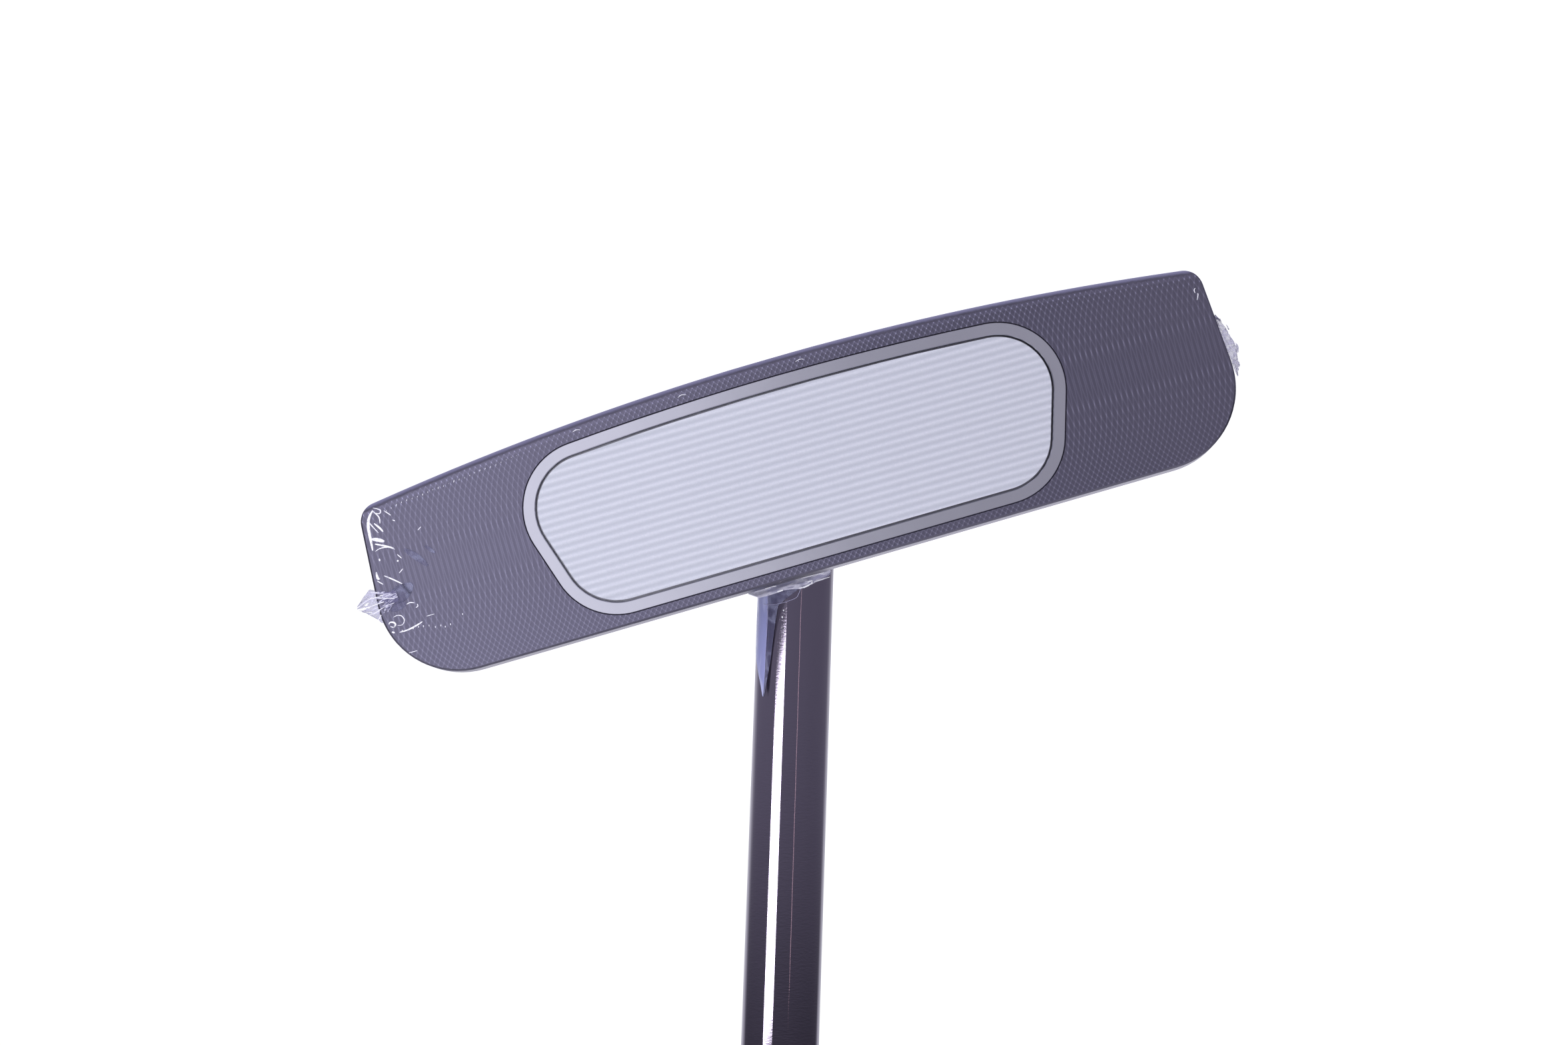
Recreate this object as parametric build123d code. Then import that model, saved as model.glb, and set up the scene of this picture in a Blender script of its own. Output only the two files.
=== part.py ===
from build123d import *
import os
from math import atan2, cos, degrees, radians, sin, sqrt, tan

# Centre-shafted mallet putter, right handed, standing as at address, in millimetres.
# The origin is the middle of the flat on the sole that meets the ground. +Z is up, the face looks
# along -Y, +X is the heel, and the shaft leans towards the heel. The parts are drawn from the
# leading edge and moved to the origin at the end.

# Driving dimensions
face_loft = 3.0
shaft_lean = 18.0
head_height = 27.1
sole_radius = 375.0
ground_flat = 0.05
origin_set_back = 8.0
bar_depth = 16.0
topline_depth = 9.5
crown_height = 20.0
crown_radius = 230.0
crown_fall = 5.7
mallet_half_width = 50.0
mallet_depth = 76.0
shaft_set_back = 16.0
shaft_aim_height = 13.5
shaft_tip_radius = 4.7
shaft_butt_radius = 7.45
club_length = 864.0

# Face outline
face_half_width_low = 54.4
face_half_width_top = 56.1
face_low_corner = 2.7
face_top_corner = 10.2
leading_edge_radius = 1.2
face_edge_bevel = 0.2
back_edge_bevel = 0.6
topline_root_radius = 3.0

# Face insert: the tray's rim is the ring round the pad
rim_low = 2.3
rim_top = 25.83
rim_half_width_low = 37.7
rim_half_width_top = 30.9
rim_corner = 8.5
rim_width = 1.6
pad_gap = 0.25
tray_depth = 4.2
tray_recess = 3.2
pad_thickness = 3.0
tray_fit = 0.05
rim_bevel = 0.12
tape_thickness = 0.5

# Shaft boss and bore
boss_radius = 7.6
boss_top = 9.4
boss_bottom = -9.0
bore_bottom = -8.0
bore_fit = 0.03
shaft_wall = 0.55
tip_plug_length = 8.0

# Rear body
wall = 4.5
front_wall = 4.0
crown_wall = 3.0
sole_lift = 0.4
straight_side_end = 38.0
relief_start = 46.0
relief_angle = 8.0
crown_edge_radius = 2.0
sole_edge_radius = 1.0
seam = 0.05

# Sole plate, crown plate and sight lines
plate_margin = 2.2
plate_thickness = 1.3
crown_plate_margin = 7.0
crown_plate_start = 27.0
crown_plate_thickness = 1.0
line_depth = 0.4
line_width = 1.2
line_pitch = 21.3
line_start = 29.0
long_line_end = 66.5
short_line_end = 57.0

# Damping block
damper_height = 5.0
damper_margin = 2.5
damper_start = 25.0

# Screw-in sole weights
weight_x = 45.0
weight_y = 8.2
weight_head_radius = 5.5
weight_head_height = 3.0
weight_thread_radius = 4.4
weight_length = 9.0
weight_recess = 0.3
washer_thickness = 0.8
washer_outer_radius = 5.4
running_gap = 0.05
head_clearance = 0.15
thread_run_out = 1.0
hex_across_flats = 4.0
hex_depth = 2.4

# Screws
frame_screw_places = (-32.0, -18.0, 18.0, 32.0)
frame_screw_height = 8.5
frame_screw_radius = 1.5
frame_screw_head_radius = 2.75
frame_screw_head_height = 3.0
frame_screw_tip = 10.0
sole_screw_places = ((-34.0, 28.0), (34.0, 28.0), (-34.0, 43.0), (34.0, 43.0), (0.0, 66.0))
sole_screw_radius = 1.25
sole_screw_head_radius = 2.3
sole_screw_length = 7.0
sole_screw_sink = 0.2
sole_post_radius = 3.2
post_gap = 0.5
screw_gap = 0.02
clearance_gap = 0.1
socket_across_flats = 2.0
socket_depth = 0.9
frame_socket_depth = 1.5

# Grip
grip_length = 267.0
grip_end_radius = 8.9
grip_waist_radius = 11.6
grip_butt_radius = 14.2
grip_flat_low = 8.2
grip_flat_butt = 10.4
skin_thickness = 1.3
grip_tape_thickness = 0.2
cap_thickness = 4.0
cap_plug_length = 12.0
cap_edge_radius = 1.6
cap_step = 0.4
cap_plug_gap = 0.2
tape_start = 6.0

# Gathered ends of the clear shrink film
tuft_depth = 3.2
tuft_y = 7.0
film_gap = 0.1

# Room round the drawn forms
big = 400.0
blank_half_width = 70.0
blank_top = 45.0
blank_start = -8.0
crown_half_width = 90.0
lengthways_start = -30.0
lengthways_end = 130.0
below_sole = -5.0

face = Plane(
    origin=(0, 0, 0),
    x_dir=(1, 0, 0),
    z_dir=(0, -cos(radians(face_loft)), sin(radians(face_loft))),
)
shaft_line = Plane(
    origin=(0, shaft_set_back, shaft_aim_height),
    x_dir=(cos(radians(shaft_lean)), 0, -sin(radians(shaft_lean))),
    z_dir=(sin(radians(shaft_lean)), 0, cos(radians(shaft_lean))),
)
ground_to_aim = shaft_aim_height / cos(radians(shaft_lean))
cap_end = club_length - ground_to_aim
shaft_end = cap_end - cap_thickness
grip_start = cap_end - grip_length


def sole_rise(x):
    """Height of the cambered sole above its middle, at a distance x from the centre line."""
    return sole_radius - sqrt(sole_radius**2 - x**2)


def bowed_outline(bottom, half_low, half_top, top, low_corner, top_corner):
    """Symmetric closed outline: sole-shaped lower edge, slanted sides, straight top, round corners."""
    low_z = bottom + sole_rise(half_low)
    left = (-half_low, low_z)
    right = (half_low, low_z)
    edges = [
        ThreePointArc(left, (0, bottom), right),
        Line(right, (half_top, top)),
        Line((half_top, top), (-half_top, top)),
        Line((-half_top, top), left),
    ]
    outline = make_face(edges)
    outline = fillet(outline.vertices().group_by(Axis.Y)[0], low_corner)
    return fillet(outline.vertices().group_by(Axis.Y)[-1], top_corner)


def lengthways(outline, y_from, y_to):
    """Solid of an XZ outline between two distances behind the leading edge."""
    return extrude(Plane.XZ.offset(-y_to) * outline, amount=y_to - y_from)


def upright(outline, z_from, z_to):
    """Solid of an XY outline between two heights."""
    return extrude(Plane.XY.offset(z_from) * outline, amount=z_to - z_from)


def behind_face(outline, start, end):
    """Solid of an outline drawn on the lofted face, between two depths behind it."""
    return extrude(face.offset(-end) * outline, amount=end - start)


def round_bar(plane, radius, start, end):
    """Cylinder along a plane's normal between two distances."""
    return plane.offset(start) * Cylinder(
        radius, end - start, align=(Align.CENTER, Align.CENTER, Align.MIN)
    )


def cone_bar(plane, radius_start, radius_end, start, end):
    """Cone along a plane's normal between two distances."""
    return plane.offset(start) * Cone(
        radius_start, radius_end, end - start, align=(Align.CENTER, Align.CENTER, Align.MIN)
    )


def hexagon_bar(plane, across_flats, start, end):
    """Hexagonal prism along a plane's normal between two distances."""
    hexagon = RegularPolygon(across_flats / 2, 6, major_radius=False)
    return extrude(plane.offset(start) * hexagon, amount=end - start)


def under_crown(drop):
    """Everything below the crown surface lowered by drop: an arch that falls towards the back."""
    half = crown_half_width
    edge_z = crown_height - drop - crown_radius + sqrt(crown_radius**2 - half**2)
    arch = make_face(
        [
            ThreePointArc((-half, edge_z), (0, crown_height - drop), (half, edge_z)),
            Line((half, edge_z), (half, -big)),
            Line((half, -big), (-half, -big)),
            Line((-half, -big), (-half, edge_z)),
        ]
    )
    pivot = Pos(0, bar_depth, crown_height)
    return pivot * Rot(-crown_fall, 0, 0) * pivot.inverse() * lengthways(
        arch, lengthways_start, lengthways_end
    )


def above_cylinder(lift):
    """Everything above the cambered sole surface raised by lift."""
    half = crown_half_width
    edge_z = lift + sole_rise(half)
    region = make_face(
        [
            ThreePointArc((-half, edge_z), (0, lift), (half, edge_z)),
            Line((half, edge_z), (half, big)),
            Line((half, big), (-half, big)),
            Line((-half, big), (-half, edge_z)),
        ]
    )
    return lengthways(region, lengthways_start, lengthways_end)


def above_sole(lift):
    """Above the mallet's sole, which turns up into a relief towards the back."""
    pivot = Pos(0, relief_start, sole_lift)
    relief = pivot * Rot(relief_angle, 0, 0) * pivot.inverse() * above_cylinder(sole_lift + lift)
    return above_cylinder(sole_lift + lift) & relief


def sole_plane(x, y, lift):
    """Plane on the sole at (x, y), facing down and square to the surface."""
    side = x / sole_radius
    tilt = radians(relief_angle) if y > relief_start else 0.0
    height = lift + sole_rise(x) + max(0.0, y - relief_start) * tan(tilt)
    normal = Vector(side, sin(tilt), -cos(tilt) * sqrt(1 - side**2))
    return Plane(origin=(x, y, height), x_dir=Vector(0, 1, 0).cross(normal), z_dir=normal)


def mallet_plan(inset, start):
    """Half-moon outline of the mallet seen from above, drawn in by inset, from start backwards."""
    half_width = mallet_half_width - inset
    straight = Pos(0, straight_side_end / 2) * Rectangle(2 * half_width, straight_side_end)
    back = Pos(0, straight_side_end) * Ellipse(half_width, mallet_depth - straight_side_end - inset)
    keep = Pos(0, start) * Rectangle(big, big, align=(Align.CENTER, Align.MIN))
    return (straight + back) & keep


def rim_outline(inset):
    """Outline of the insert's rim, drawn in by inset."""
    outline = bowed_outline(
        rim_low, rim_half_width_low, rim_half_width_top, rim_top, rim_corner, rim_corner
    )
    return offset(outline, amount=-inset) if inset else outline


def shaft_radius(along):
    """Outside radius of the tapered shaft at a distance along it from the aim point."""
    share = (along - bore_bottom) / (shaft_end - bore_bottom)
    return shaft_tip_radius + share * (shaft_butt_radius - shaft_tip_radius)


def shaft_solid(growth, start, end):
    """Cone with the shaft's taper, grown by growth, between two distances along the shaft."""
    return cone_bar(shaft_line, shaft_radius(start) + growth, shaft_radius(end) + growth, start, end)


def weight_seat(side):
    """Plane of the sole weight on the heel side (1) or the toe side (-1), facing out of the sole."""
    return sole_plane(side * weight_x, weight_y, -ground_flat)


def weight_port(side):
    """Counterbore and threaded hole for a sole weight."""
    seat = weight_seat(side)
    head_floor = -weight_recess - weight_head_height - washer_thickness - 2 * screw_gap
    counterbore = round_bar(seat, weight_head_radius + head_clearance, head_floor, 5)
    hole_end = -weight_recess - weight_length - thread_run_out
    hole = round_bar(seat, weight_thread_radius + running_gap, hole_end, 0)
    return counterbore + hole


def make_front_body():
    """Front bar with the face, the insert pocket, the topline, the shaft boss and two weight ports."""
    half = blank_half_width
    edge_z = sole_rise(half) - ground_flat
    blank = lengthways(
        make_face(
            [
                ThreePointArc((-half, edge_z), (0, -ground_flat), (half, edge_z)),
                Line((half, edge_z), (half, blank_top)),
                Line((half, blank_top), (-half, blank_top)),
                Line((-half, blank_top), (-half, edge_z)),
            ]
        ),
        blank_start,
        bar_depth,
    )
    blank -= face * Box(big, big, 30, align=(Align.CENTER, Align.CENTER, Align.MIN))
    front = blank.faces().sort_by(Axis.Y)[0]
    blank = fillet(front.edges().sort_by(Axis.Z)[0], leading_edge_radius)
    outline = bowed_outline(
        -ground_flat,
        face_half_width_low,
        face_half_width_top,
        head_height,
        face_low_corner,
        face_top_corner,
    )
    spread = 12.0
    bevel = loft(
        [
            face * offset(outline, amount=-face_edge_bevel),
            face.offset(-spread) * offset(outline, amount=spread - face_edge_bevel),
        ],
        ruled=True,
    )
    bevel += behind_face(offset(outline, amount=spread - face_edge_bevel), spread, spread + bar_depth)
    body = blank & lengthways(outline, blank_start, bar_depth) & bevel
    body -= Box(big, big, 10, align=(Align.CENTER, Align.CENTER, Align.MAX))
    behind_topline = Pos(0, topline_depth, 0) * Box(
        big, big, big, align=(Align.CENTER, Align.MIN, Align.CENTER)
    )
    body -= behind_topline - under_crown(0)
    step = [
        edge
        for edge in body.edges()
        if abs(edge.center().Y - topline_depth) < 0.01 and edge.length > 60
        and edge.center().Z < head_height - 2
    ]
    body = fillet(step, topline_root_radius)
    rims = [
        edge
        for edge in body.edges()
        if abs(edge.center().Y - topline_depth) < 0.01 and edge.center().Z > head_height - 4
    ]
    body = chamfer(rims, back_edge_bevel)
    backs = [
        edge
        for edge in body.edges()
        if abs(edge.center().Y - bar_depth) < 0.01 and edge.center().Z < 10
    ]
    body = chamfer(backs, back_edge_bevel)
    body += round_bar(shaft_line, boss_radius, boss_bottom, boss_top)
    body -= round_bar(shaft_line, shaft_tip_radius + bore_fit, bore_bottom, boss_top + 5)
    body -= shaft_solid(bore_fit, bore_bottom, boss_top + 5)
    body -= behind_face(rim_outline(-tray_fit), -5, tray_depth + tape_thickness)
    for side in (-1, 1):
        body -= weight_port(side)
    for x in frame_screw_places:
        body -= frame_screw_hole(x, screw_gap)
    return body


def frame_screw_plane(x):
    """Plane of a frame screw's head seat, looking forwards into the front bar."""
    return Plane(
        origin=(x, bar_depth + front_wall, frame_screw_height), x_dir=(1, 0, 0), z_dir=(0, -1, 0)
    )


def frame_screw_hole(x, gap):
    """Room for a frame screw's shank."""
    depth = bar_depth + front_wall - frame_screw_tip
    return round_bar(frame_screw_plane(x), frame_screw_radius + gap, 0, depth + gap)


def make_frame_screws():
    """Cap screws that pull the rear body against the front bar."""
    depth = bar_depth + front_wall - frame_screw_tip
    screws = []
    for x in frame_screw_places:
        plane = frame_screw_plane(x)
        screw = round_bar(plane, frame_screw_radius, 0, depth)
        screw += round_bar(plane, frame_screw_head_radius, -frame_screw_head_height, 0)
        top = -frame_screw_head_height
        screw -= hexagon_bar(plane, socket_across_flats, top, top + frame_socket_depth)
        screws.append(screw)
    return Compound(screws)


def sole_screw_head_depth():
    """Depth of the countersunk head."""
    return sole_screw_head_radius - sole_screw_radius


def sole_screw_solid(x, y, gap):
    """Countersunk screw, or with a gap the room for one."""
    plane = sole_plane(x, y, sole_lift)
    depth = sole_screw_head_depth()
    head = cone_bar(
        plane,
        sole_screw_radius + gap,
        sole_screw_head_radius + gap,
        -depth - sole_screw_sink,
        -sole_screw_sink,
    )
    shank_top = -depth - sole_screw_sink + 0.1
    shank = round_bar(plane, sole_screw_radius + gap, -sole_screw_length - gap, shank_top)
    return head + shank


def make_sole_screws():
    """Countersunk screws of the sole plate, each with a hexagon socket."""
    screws = []
    for x, y in sole_screw_places:
        plane = sole_plane(x, y, sole_lift)
        screw = sole_screw_solid(x, y, 0)
        screw -= hexagon_bar(plane, socket_across_flats, -sole_screw_sink - socket_depth, 0)
        screws.append(screw)
    return Compound(screws)


def sole_screw_room(x, y):
    """Countersunk hole with a clear way out of the sole."""
    plane = sole_plane(x, y, sole_lift)
    return sole_screw_solid(x, y, screw_gap) + round_bar(
        plane, sole_screw_head_radius + screw_gap, -sole_screw_sink, 3
    )


def make_rear_body():
    """Half-moon mallet flange: crown, side wall and posts round a cavity open to the sole."""
    form = upright(mallet_plan(0, bar_depth), below_sole, blank_top) & under_crown(0) & above_sole(0)
    crown_edges = form.edges().filter_by(lambda e: e.center().Z > 11 and e.center().Y > bar_depth + 1)
    form = fillet(crown_edges, crown_edge_radius)
    sole_edges = form.edges().filter_by(lambda e: e.center().Z < 8 and e.center().Y > bar_depth + 1)
    sole_edges = sole_edges.filter_by(lambda e: abs(e.center().X) > 1 or e.center().Y > 70)
    form = fillet(sole_edges, sole_edge_radius)
    cavity = upright(mallet_plan(wall, bar_depth + front_wall), below_sole, blank_top)
    cavity &= under_crown(crown_wall)
    body = form - cavity
    inside = form & under_crown(crown_wall - 0.5)
    for x, y in sole_screw_places:
        body += round_bar(sole_plane(x, y, sole_lift), sole_post_radius, -30, 0) & inside
    rebate = upright(mallet_plan(plate_margin, bar_depth), below_sole, blank_top)
    body -= rebate - above_sole(plate_thickness)
    body -= round_bar(shaft_line, boss_radius + seam, boss_bottom - seam, 40)
    body -= upright(crown_outline(0), 0, blank_top) - under_crown(crown_plate_thickness)
    for x in frame_screw_places:
        body -= frame_screw_hole(x, clearance_gap)
    for x, y in sole_screw_places:
        body -= sole_screw_room(x, y)
    return body


def crown_outline(inset):
    """Outline of the crown plate seen from above."""
    return mallet_plan(crown_plate_margin + inset, crown_plate_start + inset)


def line_outline(inset):
    """The sight lines seen from above: one long, two short a ball's width apart."""
    lines = []
    for x, end in ((0, long_line_end), (-line_pitch, short_line_end), (line_pitch, short_line_end)):
        length = end - line_start - 2 * inset
        strip = SlotOverall(length, line_width - 2 * inset, rotation=90)
        lines.append(Pos(x, (line_start + end) / 2) * strip)
    return lines


def make_crown_plate():
    """Thin plate set flush in the crown, grooved for the sight lines."""
    plate = upright(crown_outline(seam), 0, blank_top) & under_crown(0)
    plate -= under_crown(crown_plate_thickness)
    for strip in line_outline(0):
        plate -= upright(strip, 0, blank_top) - under_crown(line_depth)
    return plate


def make_alignment_lines():
    """Three sight lines laid flush in the crown plate."""
    lines = []
    for strip in line_outline(screw_gap):
        lines.append((upright(strip, 0, blank_top) & under_crown(0)) - under_crown(line_depth))
    return Compound(lines)


def make_sole_plate():
    """Cover of the rear cavity, following the sole."""
    plate = upright(mallet_plan(plate_margin + seam, bar_depth + seam), below_sole, blank_top)
    plate &= above_sole(0)
    plate -= above_sole(plate_thickness)
    plate -= round_bar(shaft_line, boss_radius + 2 * seam, boss_bottom - seam, 40)
    for x, y in sole_screw_places:
        plate -= sole_screw_room(x, y)
    return plate


def make_damping_block():
    """Elastomer block that fills the lower part of the cavity."""
    block = upright(mallet_plan(wall + damper_margin, damper_start), below_sole, blank_top)
    block &= above_sole(plate_thickness + seam)
    block -= above_sole(plate_thickness + damper_height)
    block &= under_crown(crown_wall + seam)
    for x, y in sole_screw_places:
        block -= round_bar(sole_plane(x, y, sole_lift), sole_post_radius + post_gap, -30, 5)
    return block


def make_face_tray():
    """Metal tray whose rim frames the pad."""
    tray = behind_face(rim_outline(0), 0, tray_depth)
    tray -= behind_face(rim_outline(rim_width), -1, tray_recess)
    rim = tray.faces().filter_by(lambda f: f.normal_at().Y < -0.9).sort_by(Axis.Y)[0]
    return chamfer(rim.edges(), rim_bevel)


def make_face_pad():
    """Soft hitting pad inside the rim, level with it."""
    return behind_face(rim_outline(rim_width + pad_gap), 0, pad_thickness)


def make_pad_adhesive():
    """Bonding sheet between the pad and the tray floor."""
    return behind_face(rim_outline(rim_width + pad_gap), pad_thickness, tray_recess)


def make_tray_tape():
    """Foam tape between the tray and the floor of its pocket."""
    return behind_face(rim_outline(0.5), tray_depth, tray_depth + tape_thickness)


def make_weight(side):
    """Screw-in weight with a hexagon socket."""
    seat = weight_seat(side)
    top = -weight_recess
    under_head = top - weight_head_height
    weight = round_bar(seat, weight_head_radius, under_head, top)
    weight += round_bar(seat, weight_thread_radius, top - weight_length, under_head)
    return weight - hexagon_bar(seat, hex_across_flats, top - hex_depth, top + 1)


def make_weight_washer(side):
    """Washer between the weight's head and the floor of its counterbore."""
    seat = weight_seat(side)
    top = -weight_recess - weight_head_height - screw_gap
    ring = round_bar(seat, washer_outer_radius, top - washer_thickness, top)
    return ring - round_bar(seat, weight_thread_radius + running_gap, top - 3, top + 1)


def make_shaft():
    """Tapered steel tube from the bottom of the bore to the grip cap."""
    return shaft_solid(0, bore_bottom, shaft_end) - shaft_solid(
        -shaft_wall, bore_bottom, shaft_end
    )


def make_tip_plug():
    """Plug in the shaft's tip."""
    return shaft_solid(-shaft_wall, bore_bottom, bore_bottom + tip_plug_length)


def grip_profile(inset):
    """Half section of the grip: slim at the lower end, swelling to the butt."""
    length = grip_length - cap_thickness
    outer = Spline(
        (grip_end_radius - inset, 0),
        (grip_waist_radius - 1.2 - inset, 0.38 * length),
        (grip_waist_radius + 0.9 - inset, 0.72 * length),
        (grip_butt_radius - inset, length),
    )
    return make_face(
        [
            outer,
            Line((grip_butt_radius - inset, length), (0, length)),
            Line((0, length), (0, 0)),
            Line((0, 0), (grip_end_radius - inset, 0)),
        ]
    )


def grip_solid(inset):
    """Round grip form with one long flat side, drawn in by inset."""
    base = shaft_line.offset(grip_start)
    section = Plane(origin=base.origin, x_dir=base.x_dir, z_dir=-base.y_dir)
    body = revolve(section * grip_profile(inset), Axis(base.origin, base.z_dir))
    lean = atan2(grip_flat_butt - grip_flat_low, grip_length)
    cutter = Pos(-grip_flat_low + inset, 0, 0) * Rot(0, -degrees(lean), 0) * Box(
        20, 60, 700, align=(Align.MAX, Align.CENTER, Align.CENTER)
    )
    return body - base * cutter


def make_grip_skin():
    """Outer skin of the grip."""
    return grip_solid(0) - grip_solid(skin_thickness)


def make_grip_core():
    """Foam under-listing between the tape and the skin."""
    core = grip_solid(skin_thickness)
    return core - shaft_solid(grip_tape_thickness, grip_start - 5, shaft_end + 5)


def make_grip_tape():
    """Double-sided tape on the shaft's butt."""
    sleeve = shaft_solid(grip_tape_thickness, grip_start + tape_start, shaft_end)
    return sleeve - shaft_solid(0, grip_start + tape_start, shaft_end)


def make_grip_cap():
    """End cap with a plug that goes into the shaft."""
    rim = round_bar(shaft_line, grip_butt_radius - cap_step, shaft_end, cap_end)
    rim = fillet(rim.edges().sort_by(Axis.Z)[-1:], cap_edge_radius)
    flat = shaft_line.offset(shaft_end) * Pos(-grip_flat_butt + cap_step, 0, 0) * Box(
        20, 60, 30, align=(Align.MAX, Align.CENTER, Align.CENTER)
    )
    plug_radius = shaft_radius(shaft_end) - shaft_wall - cap_plug_gap
    plug = round_bar(shaft_line, plug_radius, shaft_end - cap_plug_length, shaft_end)
    return (rim - flat) + plug


def make_film_tuft(x, z, half_width, half_height):
    """Plain body of a gathered film end beside the head."""
    outline = Pos(x, z) * Ellipse(half_width, half_height)
    return lengthways(outline, tuft_y - tuft_depth / 2, tuft_y + tuft_depth / 2)


def make_film_strip():
    """Plain body of the film gathered between the topline and the shaft."""
    outline = Pos(4.6, head_height - 0.2) * RectangleRounded(11.6, 3.0, 1.0)
    front = topline_depth + film_gap
    return lengthways(outline, front, front + 1.2)


nodes = {
    "front_body": make_front_body,
    "face_tray": make_face_tray,
    "face_pad": make_face_pad,
    "pad_adhesive": make_pad_adhesive,
    "tray_tape": make_tray_tape,
    "rear_body": make_rear_body,
    "frame_screws": make_frame_screws,
    "crown_plate": make_crown_plate,
    "alignment_lines": make_alignment_lines,
    "damping_block": make_damping_block,
    "sole_plate": make_sole_plate,
    "sole_screws": make_sole_screws,
    "heel_weight": lambda: make_weight(1),
    "toe_weight": lambda: make_weight(-1),
    "heel_weight_washer": lambda: make_weight_washer(1),
    "toe_weight_washer": lambda: make_weight_washer(-1),
    "shaft": make_shaft,
    "shaft_tip_plug": make_tip_plug,
    "grip_tape": make_grip_tape,
    "grip_core": make_grip_core,
    "grip_skin": make_grip_skin,
    "grip_cap": make_grip_cap,
    "film_heel_tuft": lambda: make_film_tuft(57.2, 17.0, 1.6, 2.6),
    "film_toe_tuft": lambda: make_film_tuft(-56.5, 14.2, 1.2, 4.0),
    "film_shaft_strip": make_film_strip,
}

os.makedirs("parts", exist_ok=True)
for name, make in nodes.items():
    export_step(Pos(0, -origin_set_back, 0) * make(), f"parts/{name}.step")
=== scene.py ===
import bpy
import bmesh
from math import cos, pi, radians, sin, sqrt
from mathutils import Matrix, Quaternion, Vector, noise


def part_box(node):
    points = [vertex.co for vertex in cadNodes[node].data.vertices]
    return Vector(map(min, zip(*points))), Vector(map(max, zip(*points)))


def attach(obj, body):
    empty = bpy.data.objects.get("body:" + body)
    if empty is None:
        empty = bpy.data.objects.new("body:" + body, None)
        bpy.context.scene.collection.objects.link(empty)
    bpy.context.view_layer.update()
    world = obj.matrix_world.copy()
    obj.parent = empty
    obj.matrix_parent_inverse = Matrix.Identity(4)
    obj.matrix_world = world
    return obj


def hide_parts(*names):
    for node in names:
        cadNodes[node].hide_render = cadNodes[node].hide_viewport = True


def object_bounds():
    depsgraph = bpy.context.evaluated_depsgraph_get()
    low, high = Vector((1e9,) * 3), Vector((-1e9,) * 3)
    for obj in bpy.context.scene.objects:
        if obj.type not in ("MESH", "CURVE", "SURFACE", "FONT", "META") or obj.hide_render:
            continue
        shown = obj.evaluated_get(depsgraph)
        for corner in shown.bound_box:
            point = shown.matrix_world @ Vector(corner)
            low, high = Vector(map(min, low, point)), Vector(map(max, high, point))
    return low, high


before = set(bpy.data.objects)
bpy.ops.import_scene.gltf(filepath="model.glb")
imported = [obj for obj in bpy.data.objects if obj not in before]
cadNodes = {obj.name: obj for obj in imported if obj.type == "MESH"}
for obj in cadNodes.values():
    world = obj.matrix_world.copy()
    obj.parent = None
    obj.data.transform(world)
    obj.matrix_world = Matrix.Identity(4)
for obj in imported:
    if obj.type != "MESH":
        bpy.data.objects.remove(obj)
cadLow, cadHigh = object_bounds()
mm = 0.001
print("frame loaded:", len(cadNodes), "nodes")

# the face leans back by its loft, and the shaft leans to the heel
head = {
    "loft": radians(3.0), "lean": radians(18.0), "setBack": 8 * mm,
    "boreAt": 8 * mm, "boreHeight": 13.5 * mm, "soleRadius": 375.0,
}
faceRight = Vector((1, 0, 0))
faceUp = Vector((0, sin(head["loft"]), cos(head["loft"])))
faceOut = Vector((0, -cos(head["loft"]), sin(head["loft"])))
faceStart = Vector((0, -head["setBack"], 0))
shaftWay = Vector((sin(head["lean"]), 0, cos(head["lean"])))
shaftSide = Vector((cos(head["lean"]), 0, -sin(head["lean"])))  # square to the shaft, heelwards
shaftStart = Vector((0, head["boreAt"], head["boreHeight"]))


def onFace(across, up, out=0.0):
    # a point on the lofted face, in metres, across towards the heel and up towards the topline
    return faceStart + faceRight * across + faceUp * up + faceOut * out


def onFaceMm(across, up, out=0.0):
    return onFace(across * mm, up * mm, out * mm)


class Wire:
    # one socket, so that shader maths reads as a sum
    def __init__(self, finish, socket):
        self.finish = finish
        self.socket = socket

    def maths(self, operation, *values):
        return self.finish.node("ShaderNodeMath", {"operation": operation}, dict(enumerate(values)))

    def __add__(self, other):
        return self.maths("ADD", self, other)

    def __radd__(self, other):
        return self.maths("ADD", other, self)

    def __sub__(self, other):
        return self.maths("SUBTRACT", self, other)

    def __rsub__(self, other):
        return self.maths("SUBTRACT", other, self)

    def __mul__(self, other):
        return self.maths("MULTIPLY", self, other)

    def __rmul__(self, other):
        return self.maths("MULTIPLY", other, self)

    def __truediv__(self, other):
        return self.maths("DIVIDE", self, other)

    def __pow__(self, other):
        return self.maths("POWER", self, other)

    def root(self):
        return self.maths("SQRT", self)

    def size(self):
        return self.maths("ABSOLUTE", self)

    def wave(self):
        return self.maths("SINE", self)

    def fraction(self):
        return self.maths("FRACT", self)

    def most(self, other):
        return self.maths("MAXIMUM", self, other)

    def ramp(self, low, high, start=0.0, end=1.0):
        # start at low, end at high, smooth between and level outside
        return self.finish.node(
            "ShaderNodeMapRange",
            {"interpolation_type": "SMOOTHSTEP"},
            {"Value": self, "From Min": low, "From Max": high, "To Min": start, "To Max": end},
        )


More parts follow.
